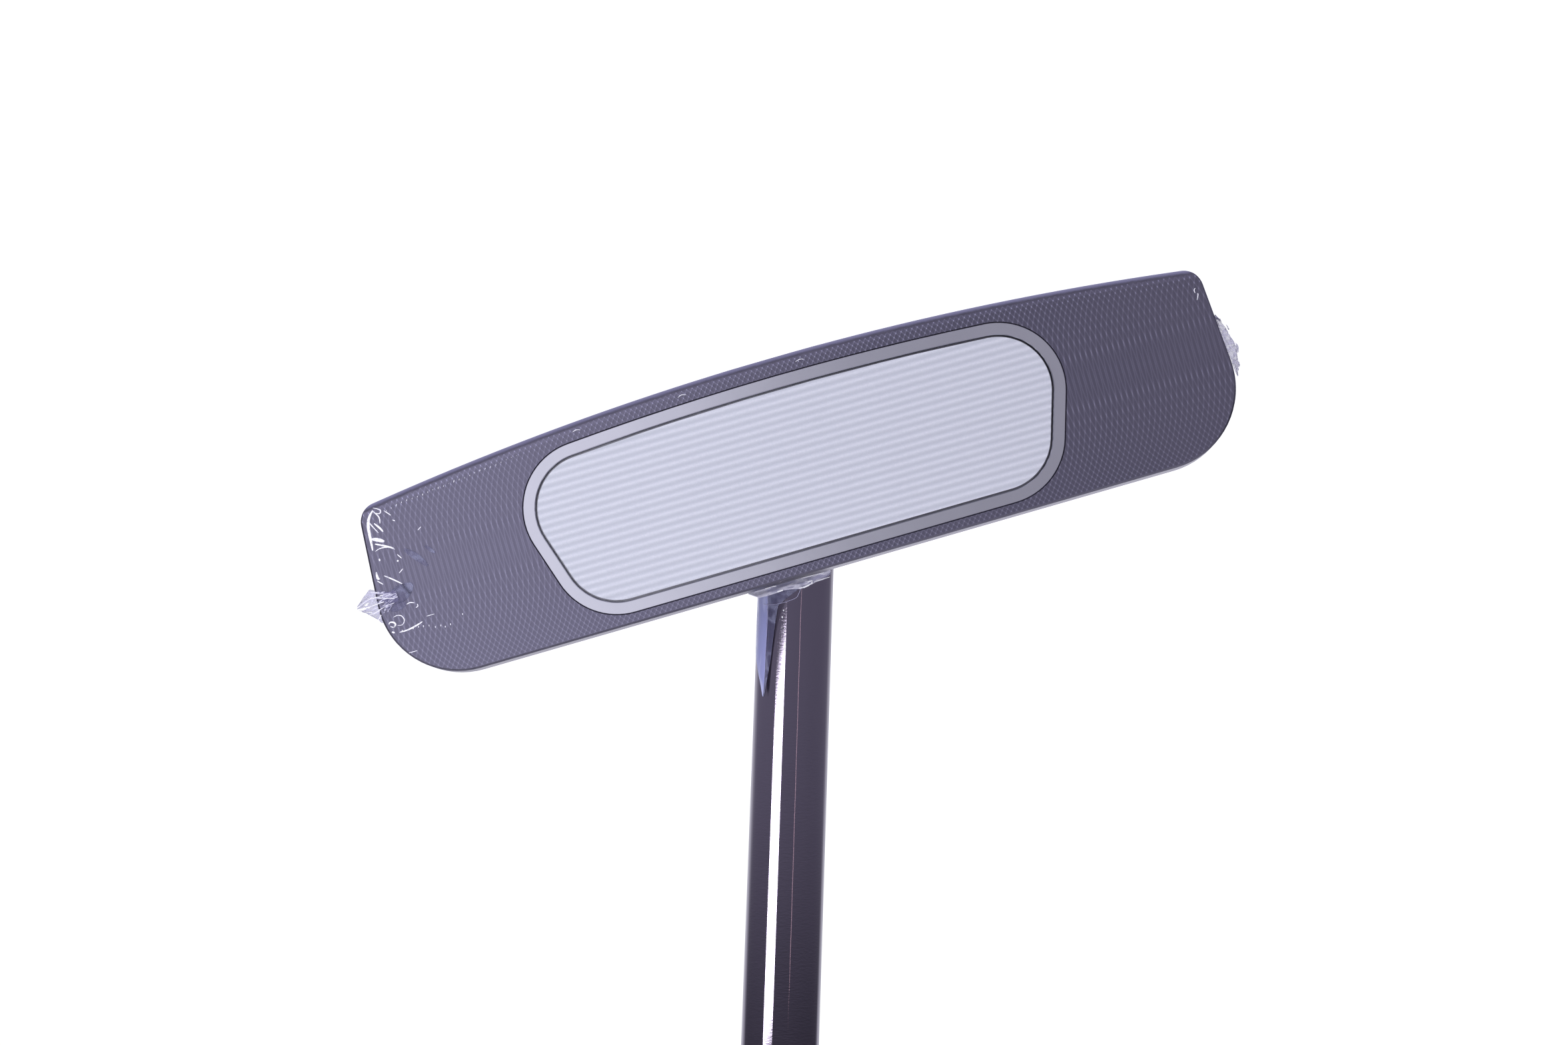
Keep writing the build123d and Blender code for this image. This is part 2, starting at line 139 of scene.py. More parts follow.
class Graph:
    # a node tree; node() adds any node, settings first, then its sockets
    def __init__(self, tree):
        self.tree = tree

    def node(self, kind, settings=None, inputs=None, out=0):
        made = self.tree.nodes.new(kind)
        for key, value in (settings or {}).items():
            setattr(made, key, value)
        for key, value in (inputs or {}).items():
            self.feed(made.inputs[key], value)
        return Wire(self, made.outputs[out])

    def feed(self, socket, value):
        if isinstance(value, Wire):
            self.tree.links.new(value.socket, socket)
        else:
            socket.default_value = value

    def mix(self, factor, first, second):
        # two colours mixed
        inputs = {0: factor, 6: self.colour(first), 7: self.colour(second)}
        return self.node("ShaderNodeMix", {"data_type": "RGBA"}, inputs, out=2)

    def colour(self, value):
        return value if isinstance(value, Wire) else (*value, 1.0)


class Finish(Graph):
    # one material with the usual shader
    def __init__(self, name, **shader):
        self.material = bpy.data.materials.new(name)
        self.material.use_nodes = True
        super().__init__(self.material.node_tree)
        self.shader = self.tree.nodes["Principled BSDF"]
        self.set(**shader)
        self.place = self.node("ShaderNodeTexCoord", out="Object")

    def set(self, **sockets):
        # baseColor -> "Base Color" and so on
        for key, value in sockets.items():
            name = "".join(" " + c if c.isupper() else c for c in key)
            name = name[0].upper() + name[1:]
            self.feed(self.shader.inputs[name], value)

    def millimetres(self, turn=(0, 0, 0)):
        # the place on the object in millimetres and turned, then its x, y and z
        turned = self.node(
            "ShaderNodeMapping", {"vector_type": "POINT"},
            {"Vector": self.place, "Rotation": turn, "Scale": (1 / mm, 1 / mm, 1 / mm)},
        )
        parts = [self.node("ShaderNodeSeparateXYZ", None, {0: turned}, out=i) for i in range(3)]
        return [turned, *parts]

    def stretched(self, vector, scale):
        return self.node("ShaderNodeVectorMath", {"operation": "MULTIPLY"}, {0: vector, 1: scale})

    def noise(self, vector, scale, detail=3.0, roughness=0.55):
        return self.node(
            "ShaderNodeTexNoise", None,
            {"Vector": vector, "Scale": scale, "Detail": detail, "Roughness": roughness},
        )

    def cells(self, vector, scale):
        return self.node("ShaderNodeTexVoronoi", None, {"Vector": vector, "Scale": scale})

    def bump(self, height, depth):
        # depth is in millimetres
        return self.node(
            "ShaderNodeBump", None, {"Height": height, "Distance": depth * mm, "Strength": 1.0}
        )

    def facing(self, axis):
        # how far the surface looks along one of the axes
        normal = self.node("ShaderNodeNewGeometry", out="Normal")
        return self.node("ShaderNodeSeparateXYZ", None, {0: normal}, out=axis)


def dress(finish, *names):
    for name in names:
        for place in cadNodes[name].material_slots:
            place.material = finish.material


# the fly cutter leaves two crossing sets of arcs; lengths are in millimetres
milling = {
    "arc": 20.2, "pitch": 0.70, "middle": 13.6, "dark": (0.130, 0.124, 0.172),
    # the edge colour paints the highlight specks and the reflected light band along the leading
    # edge
    "light": (0.255, 0.245, 0.332), "depth": 0.016, "rough": 0.36, "edge": (0.40, 0.39, 0.56),
    "brushedDark": (0.100, 0.094, 0.125), "brushedLight": (0.210, 0.200, 0.255),
    # the patch colour also stands for a faint painted sheen, and the speck band says where the
    # painted highlight specks lie
    "patch": (0.16, 0.15, 0.20), "speckBand": (2.9, 1.4),
}


def makeMilledSteel():
    made = Finish("milledSteel", metallic=1.0)
    spot, x, _, z = made.millimetres()
    rise = z - milling["middle"]
    arc = (milling["arc"] ** 2 - rise * rise).root()
    first = ((x - arc) / milling["pitch"]).fraction()
    second = ((x + arc) / milling["pitch"]).fraction()
    firstCusp = ((first - 0.5).size() * 2.0) ** 3.0
    secondCusp = ((second - 0.5).size() * 2.0) ** 3.0
    crossing = firstCusp * secondCusp
    cusps = firstCusp.most(secondCusp) * 0.55 + crossing * 0.9
    patches = made.noise(made.stretched(spot, (0.05, 0.05, 0.05)), 1.0, 2.0)
    grain = made.noise(made.stretched(spot, (0.7, 4.0, 4.0)), 1.0, 3.0)
    onFront = (0.0 - made.facing(1)).ramp(0.90, 0.97)
    milled = made.mix(cusps.ramp(0.0, 1.2), milling["dark"], milling["light"])
    brushed = made.mix(grain, milling["brushedDark"], milling["brushedLight"])
    bare = made.mix(onFront, brushed, milled)
    # random patches of a slightly bluish tone, which also stand for a faint painted sheen of the
    # film
    toned = made.mix(patches.ramp(0.35, 0.7) * 0.25, bare, milling["patch"])
    # painted highlights, where the coat catches the light as small specks beside the leading edge,
    # and a painted reflection as a light band along the rounded leading edge that faces down
    above = z - x * x / (2 * head["soleRadius"])
    specks = crossing.ramp(0.25, 0.8) * above.ramp(*milling["speckBand"]) * onFront
    edgeSheen = (0.0 - made.facing(2)).ramp(0.45, 0.80) * (0.0 - made.facing(1)).ramp(0.02, 0.15)
    height = cusps * onFront + grain * (1.0 - onFront) * 0.12
    made.set(
        baseColor=made.mix(edgeSheen.most(specks * 0.9), toned, milling["edge"]),
        roughness=patches * 0.08 + milling["rough"] - onFront * 0.02,
        normal=made.bump(height, milling["depth"]),
    )
    return made


rim = {"dark": (0.44, 0.44, 0.49), "light": (0.50, 0.50, 0.55), "rough": 0.27, "blastDepth": 0.0012}


def makeRimMetal():
    made = Finish("rimMetal", metallic=1.0)
    spot = made.millimetres()[0]
    blast = made.noise(spot, 9.0, 2.0)
    cloud = made.noise(spot, 0.12, 3.0)
    made.set(
        baseColor=made.mix(cloud, rim["dark"], rim["light"]),
        roughness=rim["rough"] + blast * 0.06,
        normal=made.bump(blast, rim["blastDepth"]),
    )
    return made


# shallow moulded ribs across the pad, turned a little off the topline
ribs = {
    "pitch": 0.963 * mm, "depth": 0.13 * mm, "turn": radians(-0.45), "stepsPerRib": 10,
    # how strongly the painted shade darkens the grooves is set here too
    "phase": 0.215, "grooveShadeStrength": 0.70,
}
ribUp = faceUp * cos(ribs["turn"]) - faceRight * sin(ribs["turn"])
pad = {
    "dark": (0.725, 0.748, 0.81), "light": (0.775, 0.797, 0.855), "grain": (0.83, 0.845, 0.90),
    # the first colour on this line is painted shade for the grooves
    "groove": (0.55, 0.577, 0.63), "rough": 0.62, "grainDepth": 0.05,
}


def makePadUrethane():
    made = Finish("padUrethane")
    spot, x, y, z = made.millimetres()
    grain = made.noise(spot, 5.0, 4.0, 0.7)
    specks = made.cells(spot, 3.2).ramp(0.0, 0.22, 1.0, 0.0)
    cloud = made.noise(spot, 0.10, 2.0)
    tone = made.mix(cloud, pad["dark"], pad["light"])
    # painted shade: the colour is darker in the grooves, by the tone and colour set above
    climb = x * ribUp.x + (y + head["setBack"] / mm) * ribUp.y + z * ribUp.z
    turns = climb / (ribs["pitch"] / mm) + ribs["phase"]
    groove = 0.5 - (turns * (2 * pi) + pi / 2).wave() * 0.5
    grained = made.mix(grain.ramp(0.35, 0.75), tone, pad["grain"])
    made.set(
        baseColor=made.mix(groove * ribs["grooveShadeStrength"], grained, pad["groove"]),
        roughness=pad["rough"] - specks * 0.25,
        normal=made.bump(grain + specks * 0.3, pad["grainDepth"]),
    )
    return made


chrome = {
    "dark": (0.150, 0.132, 0.172), "light": (0.175, 0.155, 0.200), "rough": 0.035,
    "smearRough": 0.05, "polishDepth": 0.0025,
}


def makeShaftChrome():
    made = Finish("shaftChrome", metallic=1.0)
    spot = made.millimetres(turn=(0, -head["lean"], 0))[0]
    polish = made.noise(made.stretched(spot, (1.2, 1.2, 4.5)), 1.0, 4.0, 0.7)
    smear = made.noise(made.stretched(spot, (0.2, 0.2, 0.05)), 1.0, 3.0)
    made.set(
        baseColor=made.mix(smear, chrome["dark"], chrome["light"]),
        roughness=chrome["rough"] + smear.ramp(0.45, 0.8) * chrome["smearRough"],
        normal=made.bump(polish, chrome["polishDepth"]),
    )
    return made


def makeAnodised(name, dark, light, rough):
    # bead-blasted and anodised aluminium: a fine dimpled grain under a slow change of tone
    made = Finish(name, metallic=1.0)
    spot = made.millimetres()[0]
    blast = made.noise(spot, 6.0, 3.0, 0.6)
    dimples = made.cells(spot, 2.4)
    cloud = made.noise(spot, 0.06, 3.0)
    made.set(
        baseColor=made.mix(cloud.ramp(0.3, 0.7) * 0.5 + blast * 0.25 + dimples * 0.35, dark, light),
        roughness=rough + blast * 0.08 - dimples * 0.06,
        normal=made.bump(dimples + blast * 0.5, 0.03),
    )
    return made


def makeBrushed(name, dark, light, rough):
    # long brushing marks from heel to toe
    made = Finish(name, metallic=1.0)
    spot = made.millimetres()[0]
    marks = made.noise(made.stretched(spot, (0.12, 7.0, 7.0)), 1.0, 4.0)
    made.set(
        baseColor=made.mix(marks, dark, light),
        roughness=rough + marks * 0.12,
        normal=made.bump(marks, 0.006),
    )
    return made


def makeMoulded(name, dark, light, rough, grainSize, depth):
    # moulded plastic, rubber or foam: a grain, and a slow change of tone
    made = Finish(name)
    spot = made.millimetres()[0]
    grain = made.cells(spot, 1.0 / grainSize)
    cloud = made.noise(spot, 0.08, 3.0)
    made.set(
        baseColor=made.mix(cloud * 0.7 + grain * 0.3, dark, light),
        roughness=rough + grain * 0.15,
        normal=made.bump(grain, depth),
    )
    return made


# each weight sits square to the curved sole; all in millimetres
weights = {"across": 45.0, "back": 0.2, "up": 2.66, "ringGap": 0.16}


def weightWay(side):
    # the way a weight comes out: side is 1 for the heel and -1 for the toe
    lean = weights["across"] / head["soleRadius"]
    return Vector((side * lean, 0, -sqrt(1 - lean**2)))


def makeTurned(name, dark, light, rough):
    # lathe rings about the weight's axis; the toe side is folded onto the heel side
    low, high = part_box("heel_weight")
    middle = (low + high) / 2
    lean = weightWay(1)
    made = Finish(name, metallic=1.0)
    spot, x, y, z = made.millimetres()
    across = (x.size() - middle.x / mm) * -lean.z + (z - middle.z / mm) * lean.x
    along = y - middle.y / mm
    reach = (across * across + along * along).root()
    rings = (reach * 2 * pi / weights["ringGap"]).wave() * 0.5 + 0.5
    cloud = made.noise(spot, 0.3, 3.0)
    made.set(
        baseColor=made.mix(rings * 0.5 + cloud * 0.5, dark, light),
        roughness=rough + cloud * 0.12,
        normal=made.bump(rings, 0.004),
    )
    return made


def makeFilm(name, stretch, clear, milky, thin, thick):
    # clear shrink film: see-through and glossy, milky along its creases, which is partly a painted
    # highlight on the folds
    made = Finish(name, roughness=0.14)
    spot = made.millimetres()[0]
    creases = made.noise(made.stretched(spot, stretch), 1.0, 3.0, 0.6)
    folds = (creases - 0.5).size().ramp(0.0, 0.09, 1.0, 0.0)
    made.set(
        baseColor=made.mix(folds, clear, milky),
        alpha=thin + folds * (thick - thin),
        normal=made.bump(creases, 0.12),
    )
    return made


def makeFilmGlint(name, strength, dark, light, solid):
    # painted highlights: the sharp folds and edges of the film, coloured light and made to glow a
    # little where the light glints on them
    made = Finish(name, roughness=0.15, emissionColor=(*light, 1.0), emissionStrength=strength)
    spot = made.millimetres()[0]
    grain = made.noise(spot, 3.0, 3.0)
    made.set(
        baseColor=made.mix(grain, dark, light),
        alpha=grain.ramp(0.28, 0.5, solid * 0.55, solid),
        normal=made.bump(grain, 0.03),
    )
    return made


steel = makeMilledSteel()
rimMetal = makeRimMetal()
padUrethane = makePadUrethane()
shaftChrome = makeShaftChrome()
# a name, the dark and the light colour, and the roughness
flange = makeAnodised("flangeAluminium", (0.095, 0.090, 0.120), (0.20, 0.190, 0.235), 0.34)
crownBlack = makeAnodised("crownBlack", (0.012, 0.011, 0.014), (0.050, 0.048, 0.058), 0.36)
soleAluminium = makeBrushed("soleAluminium", (0.10, 0.095, 0.120), (0.30, 0.285, 0.335), 0.26)
screwSteel = makeBrushed("screwSteel", (0.30, 0.30, 0.32), (0.42, 0.42, 0.44), 0.30)
weightSteel = makeTurned("weightSteel", (0.42, 0.41, 0.45), (0.58, 0.57, 0.61), 0.24)
# the same, then the size and the depth of the grain in millimetres
lineWhite = makeMoulded("lineWhite", (0.78, 0.78, 0.79), (0.86, 0.86, 0.87), 0.25, 0.5, 0.003)
damperRubber = makeMoulded("damperRubber", (0.03, 0.03, 0.033), (0.05, 0.05, 0.054), 0.6, 0.8, 0.03)
washerNylon = makeMoulded("washerNylon", (0.07, 0.07, 0.07), (0.11, 0.11, 0.11), 0.45, 0.6, 0.01)
foamTape = makeMoulded("foamTape", (0.04, 0.04, 0.045), (0.08, 0.08, 0.085), 0.85, 0.4, 0.05)
adhesive = makeMoulded("adhesive", (0.74, 0.73, 0.68), (0.82, 0.81, 0.76), 0.5, 0.9, 0.01)
plugCork = makeMoulded("plugCork", (0.34, 0.22, 0.12), (0.60, 0.44, 0.28), 0.8, 0.9, 0.08)
gripTape = makeMoulded("gripTape", (0.74, 0.72, 0.66), (0.84, 0.82, 0.76), 0.85, 0.5, 0.04)
gripFoam = makeMoulded("gripFoam", (0.045, 0.045, 0.05), (0.08, 0.08, 0.085), 0.8, 0.5, 0.06)
gripSkin = makeMoulded("gripSkin", (0.022, 0.021, 0.024), (0.045, 0.044, 0.048), 0.5, 0.7, 0.08)
stitchThread = makeMoulded("stitchThread", (0.10, 0.10, 0.105), (0.20, 0.20, 0.21), 0.7, 0.25, 0.04)
capPlastic = makeMoulded("capPlastic", (0.022, 0.022, 0.024), (0.036, 0.036, 0.04), 0.4, 0.4, 0.02)
# a name, how the creases run, the clear and the milky colour, and how solid each of the two is
film = makeFilm("clearFilm", (0.25, 1.1, 1.1), (0.62, 0.61, 0.80), (0.88, 0.87, 0.98), 0.62, 0.90)
filmGather = makeFilm(
    "gatheredFilm", (0.35, 1.8, 1.8), (0.34, 0.32, 0.54), (0.88, 0.87, 1.0), 0.36, 0.85
)
filmFlap = makeFilm(
    "filmFlap", (0.22, 0.22, 0.05), (0.50, 0.53, 0.92), (0.66, 0.69, 1.0), 0.80, 0.92
)
filmSheen = makeFilm(
    "filmSheen", (0.25, 0.25, 0.25), (0.30, 0.29, 0.49), (0.46, 0.47, 0.68), 0.24, 0.40
)
# a name, the glow, the dark and the light colour, and how solid it is
filmGlint = makeFilmGlint("filmGlint", 0.35, (0.80, 0.80, 0.90), (0.97, 0.97, 1.0), 1.0)
# the same painted highlight, dimmer and lavender, for the film's edges on the shaft
filmLine = makeFilmGlint("filmLine", 0.10, (0.35, 0.33, 0.50), (0.60, 0.58, 0.80), 0.75)

dress(steel, "front_body")
dress(rimMetal, "face_tray")
dress(padUrethane, "face_pad")
dress(shaftChrome, "shaft")
dress(flange, "rear_body")
dress(crownBlack, "crown_plate")
dress(lineWhite, "alignment_lines")
dress(soleAluminium, "sole_plate")
dress(screwSteel, "sole_screws", "frame_screws")
dress(weightSteel, "heel_weight", "toe_weight")
dress(washerNylon, "heel_weight_washer", "toe_weight_washer")
dress(damperRubber, "damping_block")
dress(foamTape, "tray_tape")
dress(adhesive, "pad_adhesive")
dress(plugCork, "shaft_tip_plug")
dress(gripTape, "grip_tape")
dress(gripFoam, "grip_core")
dress(gripSkin, "grip_skin")
dress(capPlastic, "grip_cap")
dress(film, "film_heel_tuft", "film_toe_tuft", "film_shaft_strip")
print("finishes made")


def finishPiece(name, bm, finish, body="club", smooth=True):
    mesh = bpy.data.meshes.new(name)
    bm.to_mesh(mesh)
    bm.free()
    mesh.materials.append(finish.material)
    for face in mesh.polygons:
        face.use_smooth = smooth
    piece = bpy.data.objects.new(name, mesh)
    bpy.context.scene.collection.objects.link(piece)
    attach(piece, body)
    return piece


def makeRibbedPad():
    bm = bmesh.new()
    bm.from_mesh(cadNodes["face_pad"].data)
    bmesh.ops.remove_doubles(bm, verts=bm.verts, dist=0.001 * mm)
    bmesh.ops.dissolve_limit(
        bm, angle_limit=radians(1), verts=bm.verts, edges=bm.edges, use_dissolve_boundaries=False
    )
    heights = [(v.co - faceStart).dot(ribUp) for v in bm.verts]
    step = ribs["pitch"] / ribs["stepsPerRib"]
    count = int((max(heights) - min(heights)) / step)
    for i in range(1, count + 1):
        everything = list(bm.verts) + list(bm.edges) + list(bm.faces)
        bmesh.ops.bisect_plane(
            bm, geom=everything, dist=0.0005 * mm,
            plane_co=faceStart + ribUp * (min(heights) + i * step), plane_no=ribUp,
        )
    for v in bm.verts:
        if (v.co - faceStart).dot(faceOut) > -0.01 * mm:
            turns = (v.co - faceStart).dot(ribUp) / ribs["pitch"] + ribs["phase"]
            v.co -= faceOut * ribs["depth"] * (0.5 - 0.5 * cos(2 * pi * turns))
    bmesh.ops.recalc_face_normals(bm, faces=bm.faces)
    piece = finishPiece("ribbed_pad", bm, padUrethane, smooth=False)
    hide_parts("face_pad")
    return piece


def sweep(bm, points, radii, sides=6, flatten=1.0, out=faceOut):
    # a round or flattened bar through the points, with closed ends
    def ring(i):
        ahead = points[min(i + 1, len(points) - 1)] - points[max(i - 1, 0)]
        along = ahead.normalized()
        across = out.cross(along).normalized()
        turn = Matrix((across, along.cross(across), along)).transposed().to_4x4()
        shape = Matrix.Diagonal((radii[i], radii[i] * flatten, 1, 1))
        return Matrix.Translation(points[i]) @ turn @ shape

    last = ring(0)
    circle = bmesh.ops.create_circle(bm, cap_ends=True, segments=sides, radius=1.0, matrix=last)
    face = circle["verts"][0].link_faces[0]
    for i in range(1, len(points)):
        grown = bmesh.ops.extrude_face_region(bm, geom=[face])["geom"]
        face = next(part for part in grown if isinstance(part, bmesh.types.BMFace))
        bmesh.ops.transform(bm, matrix=ring(i) @ last.inverted(), verts=face.verts)
        last = ring(i)


def smoothLine(points, steps=4):
    # more points on a soft curve through the given ones
    line = []
    for i in range(len(points) - 1):
        before = points[max(i - 1, 0)]
        start, end = points[i], points[i + 1]
        after = points[min(i + 2, len(points) - 1)]
        for k in range(steps):
            t = k / steps
            slope = end - before
            bend = 2 * before - 5 * start + 4 * end - after
            twist = 3 * start - before - 3 * end + after
            line.append(0.5 * (2 * start + slope * t + bend * t * t + twist * t**3))
    return line + [points[-1]]


# painted highlights on the folds and bubbles of the film pressed flat on the face: thickness, then
# the points across and up, in mm
foldGlints = [
    (0.20, [(52.6, 4.6), (53.2, 5.2), (53.6, 6.0), (53.8, 7.1), (53.9, 8.4), (54.0, 9.4)]),
    (0.08, [(52.7, 4.6), (52.1, 5.6), (52.2, 6.4)]),
    (0.07, [(52.5, 4.3), (51.7, 4.8), (51.9, 5.2), (52.4, 5.0)]),
    (0.13, [(52.9, 6.2), (52.4, 6.9), (52.1, 7.5)]),
    (0.25, [(53.7, 8.0), (53.0, 8.3), (52.3, 8.7)]),
    (0.12, [(53.5, 8.7), (52.5, 9.2), (51.4, 9.8)]),
    (0.06, [(53.7, 9.6), (53.1, 9.4), (52.1, 9.5), (51.3, 10.0)]),
    (0.06, [(51.2, 10.7), (50.8, 11.3)]),
    (0.06, [(51.0, 12.6), (51.6, 13.0)]),
    (0.12, [(51.4, 11.4), (51.3, 11.6)]),
    (0.11, [(53.5, 10.6), (53.5, 10.9)]),
    (0.09, [(53.5, 12.8), (52.5, 13.6), (51.6, 14.4)]),
    (0.17, [(54.3, 12.1), (54.35, 12.9), (54.1, 13.0)]),
    (0.07, [(54.5, 13.2), (53.9, 13.8)]),
    (0.07, [(54.7, 15.0), (53.9, 15.2), (52.8, 15.3)]),
    (0.06, [(51.8, 17.0), (51.3, 16.9), (50.8, 17.1)]),
    (0.06, [(50.5, 17.3), (50.5, 17.6), (50.8, 17.7)]),
    (0.06, [(53.8, 18.1), (53.3, 18.0), (52.8, 18.2), (52.6, 18.8), (53.0, 19.3), (53.6, 19.2)]),
    (0.11, [(54.6, 18.8), (54.4, 18.6), (54.0, 18.7), (53.8, 19.0), (54.1, 19.3), (54.5, 19.1)]),
    (0.10, [(53.6, 20.1), (52.5, 20.1), (51.1, 19.8), (50.5, 19.6)]),
    (0.04, [(49.8, 19.1), (48.8, 19.1)]),
    (0.04, [(53.2, 22.9), (52.1, 22.9)]),
    (0.05, [(47.9, 8.5), (47.4, 8.2)]),
    (0.11, [(54.5, 19.8), (54.2, 20.0)]),
    (0.07, [(53.6, 5.6), (53.3, 6.3), (52.7, 7.5)]),
    (0.06, [(51.3, 5.0), (50.6, 5.8)]),
    (0.06, [(50.6, 6.4), (50.3, 6.6)]),
    (0.05, [(-53.5, 6.3), (-53.3, 6.5), (-53.3, 6.9)]),
    (0.06, [(-53.6, 7.0), (-53.6, 7.2), (-53.3, 7.8)]),
    (0.035, [(12.2, 1.6), (11.7, 1.4), (11.1, 1.55)]),
    (0.03, [(-3.1, 1.35), (-3.7, 1.2), (-4.2, 1.35)]),
    (0.035, [(26.0, 2.1), (25.5, 1.95), (25.0, 2.1)]),
]
# painted highlights, as white lines along the gather at the heel: thickness, then the points
# across, up and out
heelGlints = [
    (0.045, [(54.6, 15.2, 0.2), (56.0, 15.1, -0.2), (57.5, 15.6, -0.8)]),
    (0.055, [(54.4, 15.9, 0.2), (55.8, 16.0, -0.1), (57.7, 16.1, -0.8)]),
    (0.040, [(54.8, 16.6, 0.2), (56.0, 17.0, -0.2), (56.9, 17.0, -0.7)]),
    (0.045, [(54.9, 14.6, 0.1), (55.6, 14.3, -0.2), (56.2, 14.0, -0.5)]),
    (0.050, [(55.2, 17.4, 0.0), (55.7, 17.9, -0.3), (55.9, 18.3, -0.5)]),
    (0.050, [(53.0, 15.9, 0.4), (54.2, 15.5, 0.3), (55.0, 15.3, 0.1)]),
    (0.035, [(53.2, 16.4, 0.4), (54.3, 16.5, 0.3), (55.3, 16.8, 0.1)]),
]
# painted sheen: milky bluish patches where the film stands off the face and catches the light: half
# width, then the points
filmSheens = [
    (0.45, [(50.2, 10.3), (49.0, 11.6), (47.9, 13.1)]),
    (0.25, [(47.6, 10.6), (46.6, 11.8)]),
    (1.10, [(54.2, 15.8), (52.9, 15.7), (51.6, 15.3), (50.4, 14.7)]),
    (0.50, [(53.9, 17.2), (52.8, 17.0), (51.8, 16.8)]),
]
# rows of short glints where the film is stretched over the cutter marks
filmRows = {
    "edgeFrom": 51.0, "edgeTo": 33.0, "edgeUp": 1.55, "step": 0.70, "length": 0.28, "thick": 0.055,
    "lowRow": [
        (53.2, 20.0), (52.4, 20.1), (51.8, 20.1), (51.1, 20.1), (50.5, 20.2), (49.8, 20.3),
        (49.1, 20.7), (48.4, 20.7), (47.9, 21.0), (47.2, 20.9), (45.4, 20.1),
    ],
    "lowHalf": 0.1, "lowLean": 0.05, "lowThick": 0.05,
}


def bellied(count, thick, end, belly):
    # radii that swell from the ends to the middle
    return [thick * mm * (end + belly * sin(pi * (i + 0.5) / count)) for i in range(count)]


def edgeRow(bm):
    # one short glint for each cutter mark along the leading edge, dying out towards the middle
    across = filmRows["edgeFrom"]
    while across > filmRows["edgeTo"]:
        size = 0.4 + 0.6 * (0.5 + noise.noise(Vector((across * 0.9, 3.1, 0))))
        size *= min(1.0, (across - filmRows["edgeTo"]) / 6.0 + 0.35)
        waver = 0.25 * noise.noise(Vector((across * 0.4, 0, 7.7)))
        up = filmRows["edgeUp"] + across**2 / (2 * head["soleRadius"]) + waver
        half = filmRows["length"] * size / 2
        start = onFaceMm(across - half * 0.5, up - half)
        end = onFaceMm(across + half * 0.5, up + half)
        thick = filmRows["thick"] * size * mm
        sweep(bm, [start, (start + end) / 2, end], [thick * 0.4, thick, thick * 0.4], flatten=0.6)
        across -= filmRows["step"]


def makeFoldGlints():
    bm = bmesh.new()
    for thick, path in foldGlints:
        points = smoothLine([onFaceMm(*spot) for spot in path], 3)
        sweep(bm, points, bellied(len(points), thick, 0.35, 0.75), flatten=0.55)
    for thick, path in heelGlints:
        points = smoothLine([onFaceMm(*spot) for spot in path], 4)
        count = len(points)
        radii = [thick * mm * (1.1 - 0.7 * i / count) for i in range(count)]
        sweep(bm, points, radii, flatten=0.6)
    edgeRow(bm)
    half, thick = filmRows["lowHalf"], filmRows["lowThick"] * mm
    for across, up in filmRows["lowRow"]:
        ends = [onFaceMm(across, up - half), onFaceMm(across + filmRows["lowLean"], up + half)]
        sweep(bm, ends, [thick, thick], flatten=0.6)
    bmesh.ops.recalc_face_normals(bm, faces=bm.faces)
    return finishPiece("film_fold_glints", bm, filmGlint)


def makeFilmSheens():
    bm = bmesh.new()
    for wide, path in filmSheens:
        points = smoothLine([onFaceMm(*spot, 0.12) for spot in path], 4)
        sweep(bm, points, bellied(len(points), wide, 0.12, 0.9), sides=10, flatten=0.03)
    bmesh.ops.recalc_face_normals(bm, faces=bm.faces)
    return finishPiece("film_sheens", bm, filmSheen)


filmThick = 0.02 * mm


def crumple(name, size, place, finish, keep=None, replaced=None):
    # a gathered scrap of film: a grid placed by place(u, v), torn off where keep(u, v) is false
    bm = bmesh.new()
    bmesh.ops.create_grid(bm, x_segments=size[0], y_segments=size[1], size=0.5)
    if keep:
        centres = [(f, f.calc_center_median()) for f in bm.faces]
        lost = [f for f, centre in centres if not keep(centre.x + 0.5, centre.y + 0.5)]
        bmesh.ops.delete(bm, geom=lost, context="FACES")
    for v in bm.verts:
        v.co = place(v.co.x + 0.5, v.co.y + 0.5)
    bmesh.ops.recalc_face_normals(bm, faces=bm.faces)
    bmesh.ops.solidify(bm, geom=list(bm.faces), thickness=filmThick)
    bmesh.ops.recalc_face_normals(bm, faces=bm.faces)
    piece = finishPiece(name, bm, finish)
    if replaced:
        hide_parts(replaced)
    return piece


def rough(u, v, scale, seed):
    return noise.noise(Vector((u * scale, v * scale, seed)))


def between(stops, u):
    # the value at u on a line through evenly spaced stops
    place = max(0.0, min(0.9999, u)) * (len(stops) - 1)
    i = int(place)
    return stops[i] + (stops[i + 1] - stops[i]) * (place - i)


# the film is pinched together beside the heel and the toe
heelTuft = {
    "root": (52.6, 15.7), "tip": (58.0, 15.9), "lift": 0.5, "fold": 0.22, "pleats": 5.0,
    "below": (0.8, 0.9, 1.2, 1.9, 1.3, 0.5), "above": (0.6, 0.8, 1.6, 2.7, 1.8, 0.7),
}
toeTuft = {"low": (-54.75, 10.2), "high": (-55.5, 18.3), "bulge": 1.55, "fold": 0.35}


